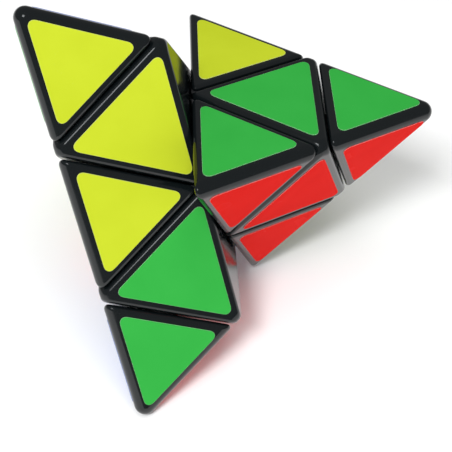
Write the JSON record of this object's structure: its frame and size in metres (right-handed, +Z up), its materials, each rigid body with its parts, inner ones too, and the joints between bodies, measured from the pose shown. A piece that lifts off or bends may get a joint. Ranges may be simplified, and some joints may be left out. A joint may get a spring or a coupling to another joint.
{
  "type": "pyramid twisty puzzle",
  "caption": "Tetrahedral twisty puzzle with coloured stickers: corner layers and small tips turn about a sprung core, and a layer stands part-way through a turn.",
  "frame": {"origin": "on the table, under the middle of the box round the puzzle as it lies on its front and back tips and on the low corner of its turned layer", "axes": "+Z up from the table, +X along the level direction nearest to the turned layer's axis, +Y from the front tip to the back tip"},
  "size_m": [0.0934, 0.0978, 0.0816],
  "materials": {
    "shell_plastic": "black injection-moulded plastic, polished",
    "inner_plastic": "black injection-moulded plastic, as moulded",
    "zinc_steel": "bright zinc plate",
    "spring_steel": "drawn spring wire",
    "sticker_yellow": "semi-gloss vinyl film",
    "sticker_green": "semi-gloss vinyl film",
    "sticker_red": "semi-gloss vinyl film",
    "sticker_blue": "semi-gloss vinyl film"
  },
  "bodies": {
    "main_block": {"axial_back_hub": "inner_plastic", "axial_back_shell": "shell_plastic", "axial_front_hub": "inner_plastic", "axial_front_shell": "shell_plastic", "axial_top_hub": "inner_plastic", "axial_top_shell": "shell_plastic", "core": "inner_plastic", "edge_front_back_foot": "inner_plastic", "edge_front_back_shell": "shell_plastic", "edge_top_back_foot": "inner_plastic", "edge_top_back_shell": "shell_plastic", "edge_top_front_foot": "inner_plastic", "edge_top_front_shell": "shell_plastic", "spring_back": "spring_steel", "spring_front": "spring_steel", "spring_right": "spring_steel", "spring_top": "spring_steel", "stickers_fixed_blue": "sticker_blue", "stickers_fixed_green": "sticker_green", "stickers_fixed_red": "sticker_red", "stickers_fixed_yellow": "sticker_yellow", "tension_screws": "zinc_steel", "tension_washers": "zinc_steel"},
    "turned_layer": {"axial_right_hub": "inner_plastic", "axial_right_shell": "shell_plastic", "edge_layer_back_foot": "inner_plastic", "edge_layer_back_shell": "shell_plastic", "edge_layer_front_foot": "inner_plastic", "edge_layer_front_shell": "shell_plastic", "edge_layer_low_foot": "inner_plastic", "edge_layer_low_shell": "shell_plastic", "stickers_layer_blue": "sticker_blue", "stickers_layer_green": "sticker_green", "stickers_layer_red": "sticker_red", "stickers_layer_yellow": "sticker_yellow"},
    "tip_right": {"sticker_tip_right_green": "sticker_green", "sticker_tip_right_red": "sticker_red", "sticker_tip_right_yellow": "sticker_yellow", "tip_right_plug": "inner_plastic", "tip_right_shell": "shell_plastic"},
    "tip_top": {"sticker_tip_top_blue": "sticker_blue", "sticker_tip_top_green": "sticker_green", "sticker_tip_top_yellow": "sticker_yellow", "tip_top_plug": "inner_plastic", "tip_top_shell": "shell_plastic"},
    "tip_front": {"sticker_tip_front_blue": "sticker_blue", "sticker_tip_front_green": "sticker_green", "sticker_tip_front_red": "sticker_red", "tip_front_plug": "inner_plastic", "tip_front_shell": "shell_plastic"},
    "tip_back": {"sticker_tip_back_blue": "sticker_blue", "sticker_tip_back_red": "sticker_red", "sticker_tip_back_yellow": "sticker_yellow", "tip_back_plug": "inner_plastic", "tip_back_shell": "shell_plastic"}
  },
  "joints": [
    {"name": "layer_turn", "type": "hinge", "parent": "main_block", "child": "turned_layer", "pos_m": [-0.00993, 0, 0.03375], "axis": [0.953, 0, 0.303], "continuous": true},
    {"name": "tip_right_turn", "type": "hinge", "parent": "turned_layer", "child": "tip_right", "pos_m": [0.02411, 0, 0.04458], "axis": [0.953, 0, 0.303], "continuous": true},
    {"name": "tip_top_turn", "type": "hinge", "parent": "main_block", "child": "tip_top", "pos_m": [-0.03148, 0, 0.06224], "axis": [-0.6033, 0, 0.7975], "continuous": true},
    {"name": "tip_front_turn", "type": "hinge", "parent": "main_block", "child": "tip_front", "pos_m": [-0.01618, -0.02917, 0.0141], "axis": [-0.1748, -0.8165, -0.5502], "continuous": true},
    {"name": "tip_back_turn", "type": "hinge", "parent": "main_block", "child": "tip_back", "pos_m": [-0.01618, 0.02917, 0.0141], "axis": [-0.1748, 0.8165, -0.5502], "continuous": true}
  ]
}
